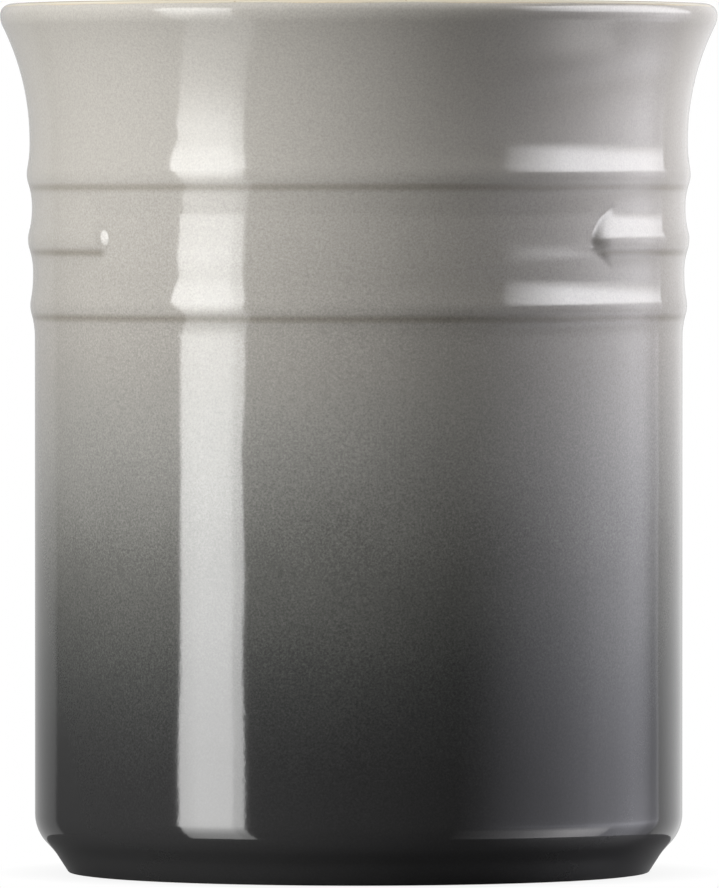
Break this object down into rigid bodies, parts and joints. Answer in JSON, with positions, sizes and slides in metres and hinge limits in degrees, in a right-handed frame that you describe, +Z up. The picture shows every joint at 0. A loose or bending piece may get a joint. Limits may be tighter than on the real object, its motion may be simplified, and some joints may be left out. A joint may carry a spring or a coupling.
{
  "type": "utensil crock",
  "caption": "Straight-sided glazed stoneware jar with a flared rounded rim, soft ridges round the shoulder and a bevelled foot, for standing kitchen utensils in.",
  "frame": {"origin": "centre of the foot ring, on the table", "axes": "+Z up through the mouth; the plain panel between the ends of the middle ridge faces -Y"},
  "size_m": [0.124, 0.124, 0.15],
  "materials": {
    "stoneware": "matte",
    "pale_glaze": "gloss",
    "dark_glaze": "gloss",
    "cream_glaze": "gloss",
    "base_glaze": "gloss"
  },
  "bodies": {
    "root": {"stoneware_body": "stoneware", "pale_outer_glaze": "pale_glaze", "dark_overspray_glaze": "dark_glaze", "cream_inner_glaze": "cream_glaze", "base_recess_glaze": "base_glaze"}
  },
  "joints": []
}
